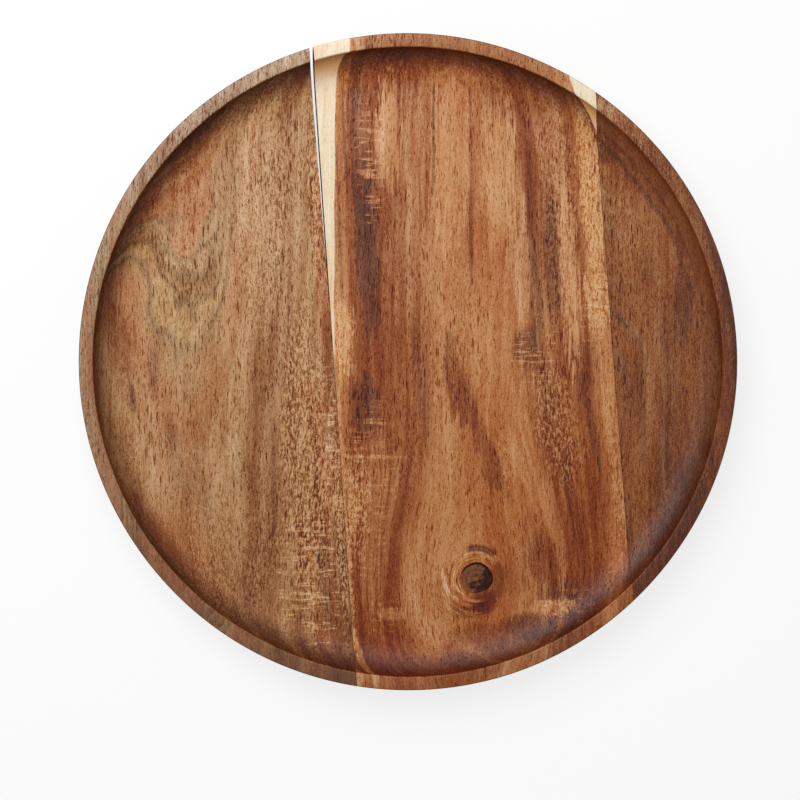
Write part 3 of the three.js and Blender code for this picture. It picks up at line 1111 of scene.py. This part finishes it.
def placed(bm, name, material, slot, *nodes):
    """Makes an object of a bmesh, gives it its material and lets it stand for CAD nodes."""
    mesh = bpy.data.meshes.new(name)
    bm.to_mesh(mesh)
    bm.free()
    mesh.polygons.foreach_set("use_smooth", [True] * len(mesh.polygons))
    mesh.set_sharp_from_angle(angle=SHARP_ANGLE)
    mesh.materials.append(material)
    piece = bpy.data.objects.new(name, mesh)
    bpy.context.scene.collection.objects.link(piece)
    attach(piece, "root")
    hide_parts(*nodes)
    return piece


def knot_outline(angle):
    """The uneven round of the knot, as a share of its radius."""
    oval = 0.035 * math.cos(2 * angle - 0.7)
    corners = 0.025 * math.cos(3 * angle + 1.1)
    dents = 0.012 * math.cos(5 * angle)
    return 1 + oval + corners + dents


def make_uneven(vert, middle):
    """Moves a vertex from a true circle round the knot's middle to its uneven outline."""
    out = Vector((vert.co.x - middle.x, vert.co.y - middle.y, 0))
    vert.co += out * (knot_outline(math.atan2(out.y, out.x)) - 1)


def tapered(shape, knot, radius, z):
    """A radius given at the dish floor, as it is at another height of the knot."""
    return radius + (z - shape.floor) * math.tan(knot.taper)


def knot_cone(bm, shape, knot, radius, low, high, shift):
    """Adds a closed tapered uneven cone along the knot to a bmesh."""
    middle = Vector((KNOT_MIDDLE.x, KNOT_MIDDLE.y, (low + high) / 2)) + shift
    made = bmesh.ops.create_cone(
        bm,
        cap_ends=True,
        segments=knot.sides,
        depth=high - low,
        radius1=tapered(shape, knot, radius, low),
        radius2=tapered(shape, knot, radius, high),
        matrix=Matrix.Translation(middle),
    )
    for vert in made["verts"]:
        make_uneven(vert, middle)


def bark_reach(knot):
    """The bark's outside radius at the floor, and its shift to the thick side."""
    shift = (knot.bark_thick - knot.bark_thin) / 2
    mean = (knot.bark_thick + knot.bark_thin) / 2
    side = Vector((math.cos(knot.bark_side), math.sin(knot.bark_side), 0))
    return knot.radius + knot.fit_gap + mean, side * shift


def bark_ring(shape, knot):
    """The uneven ring between the knot and its hole: a section spun once, thicker on one side."""
    bm = bmesh.new()
    inner = knot.radius + knot.fit_gap
    outer, shift = bark_reach(knot)
    high = shape.floor - knot.bark_sunk
    section = []
    for radius, z in ((inner, 0), (outer, 0), (outer, high), (inner, high)):
        reach = tapered(shape, knot, radius, z)
        section.append(bm.verts.new((KNOT_MIDDLE.x + reach, KNOT_MIDDLE.y, z)))
    for start, end in zip(section, section[1:] + section[:1]):
        bm.edges.new((start, end))
    spin_round(bm, KNOT_MIDDLE, knot.sides)
    for vert in bm.verts:
        out = Vector((vert.co.x - KNOT_MIDDLE.x, vert.co.y - KNOT_MIDDLE.y, 0))
        is_outer = out.length > tapered(shape, knot, (inner + outer) / 2, vert.co.z)
        make_uneven(vert, KNOT_MIDDLE)
        if is_outer:
            vert.co += shift
    bmesh.ops.recalc_face_normals(bm, faces=bm.faces)
    return bm


def bore_for_knot(board, shape, knot):
    """Cuts the knot's uneven hole through a board."""
    radius, shift = bark_reach(knot)
    bm = bmesh.new()
    past = 3 * MM  # how far the cutter runs past the board's faces
    knot_cone(bm, shape, knot, radius + knot.fit_gap, -past, shape.floor + past, shift)
    mesh = bpy.data.meshes.new("knot_cutter")
    bm.to_mesh(mesh)
    bm.free()
    cutter = bpy.data.objects.new("knot_cutter", mesh)
    bpy.context.scene.collection.objects.link(cutter)
    cut = board.modifiers.new("knot_hole", "BOOLEAN")
    cut.operation = "DIFFERENCE"
    cut.solver = "EXACT"
    cut.object = cutter
    bored = bpy.data.meshes.new_from_object(board.evaluated_get(bpy.context.evaluated_depsgraph_get()))
    board.modifiers.clear()
    board.data = bored
    bpy.data.objects.remove(cutter)


# Stage


def seen_directly(tree):
    """1 for what the camera sees, straight or in a reflection, and 0 for what lights the plate."""
    path = tree.nodes.new("ShaderNodeLightPath")
    seen = Field(path.outputs["Is Camera Ray"])
    for name in ("Is Glossy Ray", "Is Transmission Ray"):
        seen = larger(seen, Field(path.outputs[name]))
    return seen


def add_floor(stage):
    """A pale floor that keeps the plate's shadow."""
    bm = bmesh.new()
    below = Matrix.Translation((0, 0, -stage.floor_gap))
    bmesh.ops.create_grid(bm, x_segments=1, y_segments=1, size=stage.floor_width / 2, matrix=below)
    mesh = bpy.data.meshes.new("pale_floor")
    bm.to_mesh(mesh)
    bm.free()
    material = bpy.data.materials.new("pale_floor")
    material.use_nodes = True
    tree = material.node_tree
    surface = tree.nodes["Principled BSDF"]
    surface.inputs["Base Color"].default_value = stage.floor_colour
    surface.inputs["Roughness"].default_value = 0.9
    surface.inputs["Specular IOR Level"].default_value = 0.0
    white = tree.nodes.new("ShaderNodeEmission")
    both = tree.nodes.new("ShaderNodeMixShader")
    feed(both.inputs[0], seen_directly(tree) * stage.floor_glow)
    tree.links.new(surface.outputs[0], both.inputs[1])
    tree.links.new(white.outputs[0], both.inputs[2])
    tree.links.new(both.outputs[0], tree.nodes["Material Output"].inputs["Surface"])
    mesh.materials.append(material)
    floor = bpy.data.objects.new("pale_floor", mesh)
    bpy.context.scene.collection.objects.link(floor)


def add_sky(scene, stage):
    """A world that is white to look at and lights the plate faintly from all round."""
    scene.world = bpy.data.worlds.new("white_room")
    scene.world.use_nodes = True
    tree = scene.world.node_tree
    background = tree.nodes["Background"]
    background.inputs["Color"].default_value = (1, 1, 1, 1)
    feed(background.inputs["Strength"], seen_directly(tree) * (1 - stage.sky_level) + stage.sky_level)


def add_key(stage):
    """One broad light from the upper left."""
    lamp = bpy.data.lights.new("window", "AREA")
    lamp.energy = stage.key_watts
    lamp.size = stage.key_width
    key = bpy.data.objects.new("window", lamp)
    towards = Vector(stage.key_direction).normalized()
    key.location = towards * stage.key_distance
    key.rotation_euler = towards.to_track_quat("Z", "Y").to_euler()
    key.visible_camera = False
    bpy.context.scene.collection.objects.link(key)


def add_camera(scene, stage, shape):
    """A camera straight above the plate, with the picture's frame moved off its middle."""
    data = bpy.data.cameras.new("above")
    data.lens = data.sensor_width * stage.camera_height / stage.picture_width
    data.shift_x = stage.shift_x
    data.shift_y = stage.shift_y
    camera = bpy.data.objects.new("above", data)
    camera.location = (0, 0, shape.height + stage.camera_height)
    scene.collection.objects.link(camera)
    scene.camera = camera


# Operators


class PLATE_OT_left_board(bpy.types.Operator):
    """Turns the left board, with its edge opened along the crack"""

    bl_idname = "plate.left_board"
    bl_label = "Left Board"

    def execute(self, context):
        shape = context.scene.plate_shape
        seam, _ = seams_of(shape)
        offset = -shape.glue / 2
        bm = turned_plate(shape)
        keep_left(bm, seam, offset)
        cut_away(bm, *seam.opened_plane(offset, shape.crack_length, shape.crack_width))
        material = left_board_wood(context.scene.plate_colours)
        placed(bm, "left_board_wood", material, "left_board_wood", "left_board")
        return {"FINISHED"}


class PLATE_OT_centre_board(bpy.types.Operator):
    """Turns the centre board and bores its knot hole"""

    bl_idname = "plate.centre_board"
    bl_label = "Centre Board"

    def execute(self, context):
        shape = context.scene.plate_shape
        left, right = seams_of(shape)
        bm = turned_plate(shape)
        keep_right(bm, left, shape.glue / 2)
        keep_left(bm, right, -shape.glue / 2)
        material = centre_board_wood(context.scene.plate_colours)
        board = placed(bm, "centre_board_wood", material, "centre_board_wood", "centre_board")
        bore_for_knot(board, shape, context.scene.plate_knot)
        return {"FINISHED"}


class PLATE_OT_right_board(bpy.types.Operator):
    """Turns the right board"""

    bl_idname = "plate.right_board"
    bl_label = "Right Board"

    def execute(self, context):
        shape = context.scene.plate_shape
        _, seam = seams_of(shape)
        bm = turned_plate(shape)
        keep_right(bm, seam, shape.glue / 2)
        material = right_board_wood(context.scene.plate_colours)
        placed(bm, "right_board_wood", material, "right_board_wood", "right_board")
        return {"FINISHED"}


class PLATE_OT_glue_lines(bpy.types.Operator):
    """Lays the glue films of both seams"""

    bl_idname = "plate.glue_lines"
    bl_label = "Glue Lines"

    def execute(self, context):
        shape = context.scene.plate_shape
        material = glue_film(context.scene.plate_colours)
        for side, seam in zip(("left", "right"), seams_of(shape)):
            bm = turned_plate(shape)
            keep_left(bm, seam, shape.glue / 2)
            keep_right(bm, seam, -shape.glue / 2)
            placed(bm, f"{side}_seam_glue", material, "glue_film", f"{side}_glue_line")
        return {"FINISHED"}


class PLATE_OT_knot(bpy.types.Operator):
    """Sets the dead knot and its bark in the centre board"""

    bl_idname = "plate.knot"
    bl_label = "Knot and Bark"

    def execute(self, context):
        shape = context.scene.plate_shape
        knot = context.scene.plate_knot
        colours = context.scene.plate_colours
        bm = bmesh.new()
        still = Vector((0, 0, 0))
        knot_cone(bm, shape, knot, knot.radius, 0, shape.floor, still)
        placed(bm, "dead_knot", knot_wood(colours), "knot_wood", "knot")
        placed(bark_ring(shape, knot), "bark_ring", bark_crust(colours), "bark", "knot_bark")
        return {"FINISHED"}


class PLATE_OT_stage(bpy.types.Operator):
    """Sets the plate on a pale floor under soft light, with a camera straight above"""

    bl_idname = "plate.stage"
    bl_label = "Stage"

    def execute(self, context):
        scene = context.scene
        stage = scene.plate_stage
        scene.view_settings.view_transform = "Standard"
        add_floor(stage)
        add_sky(scene, stage)
        add_key(stage)
        add_camera(scene, stage, scene.plate_shape)
        return {"FINISHED"}


# Panel and registration


class PLATE_PT_panel(bpy.types.Panel):
    """Sizes, colours and steps of the plate"""

    bl_idname = "PLATE_PT_panel"
    bl_label = "Wooden Plate"
    bl_space_type = "VIEW_3D"
    bl_region_type = "UI"
    bl_category = "Plate"

    def draw(self, context):
        for step in STEPS:
            self.layout.operator(step.bl_idname)
        for group_name in GROUPS:
            group = getattr(context.scene, group_name)
            box = self.layout.box()
            for name in group.__annotations__:
                box.prop(group, name)


STEPS = (
    PLATE_OT_left_board,
    PLATE_OT_centre_board,
    PLATE_OT_right_board,
    PLATE_OT_glue_lines,
    PLATE_OT_knot,
    PLATE_OT_stage,
)
GROUPS = {
    "plate_shape": PlateShape,
    "plate_knot": KnotShape,
    "plate_colours": WoodColours,
    "plate_stage": StudioStage,
}


def register():
    for group_name, group in GROUPS.items():
        bpy.utils.register_class(group)
        setattr(bpy.types.Scene, group_name, bpy.props.PointerProperty(type=group))
    for step in STEPS:
        bpy.utils.register_class(step)
    bpy.utils.register_class(PLATE_PT_panel)


def unregister():
    bpy.utils.unregister_class(PLATE_PT_panel)
    for step in reversed(STEPS):
        bpy.utils.unregister_class(step)
    for group_name, group in GROUPS.items():
        delattr(bpy.types.Scene, group_name)
        bpy.utils.unregister_class(group)


def main():
    register()
    bpy.ops.plate.left_board()
    bpy.ops.plate.centre_board()
    bpy.ops.plate.right_board()
    bpy.ops.plate.glue_lines()
    bpy.ops.plate.knot()
    bpy.ops.plate.stage()


if __name__ == "__main__":
    main()
